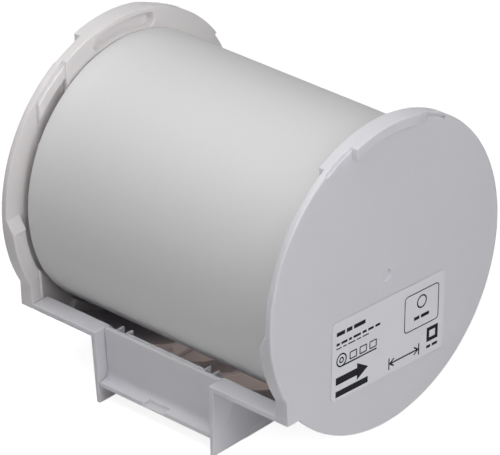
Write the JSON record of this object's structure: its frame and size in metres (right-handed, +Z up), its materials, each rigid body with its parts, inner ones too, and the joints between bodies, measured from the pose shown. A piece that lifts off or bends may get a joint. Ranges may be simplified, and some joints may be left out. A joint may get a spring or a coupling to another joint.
{
  "type": "label tape cassette",
  "caption": "Wide cassette with a roll of white label tape that turns between two round moulded end plates, joined by a front bar, a curved cradle and a square foot.",
  "frame": {"origin": "on the surface that the foot stands on, under the middle of the roll's axis", "axes": "+X along the roll's axis towards the end plate with the printed label, -Y to the front where the foot is, +Z up"},
  "size_m": [0.113, 0.0994, 0.1035],
  "materials": {
    "plate_plastic": "white moulding, fine satin skin",
    "frame_plastic": "white moulding, fine satin skin",
    "tape": "white film label tape on its liner, matt",
    "card": "wound card tube",
    "hub_plastic": "slippery white plastic",
    "felt": "grey wool felt",
    "label_film": "printed white film"
  },
  "bodies": {
    "frame": {"left_end_plate": "plate_plastic", "right_end_plate": "plate_plastic", "lower_frame": "frame_plastic", "grip_plate": "frame_plastic", "left_drag_felt": "felt", "right_drag_felt": "felt", "label_sticker": "label_film"},
    "reel": {"tape_roll": "tape", "core_tube": "card", "left_core_hub": "hub_plastic", "right_core_hub": "hub_plastic"}
  },
  "joints": [
    {"name": "reel_spin", "type": "hinge", "parent": "frame", "child": "reel", "pos_m": [0, 0, 0.0538], "axis": [1, 0, 0], "continuous": true}
  ]
}
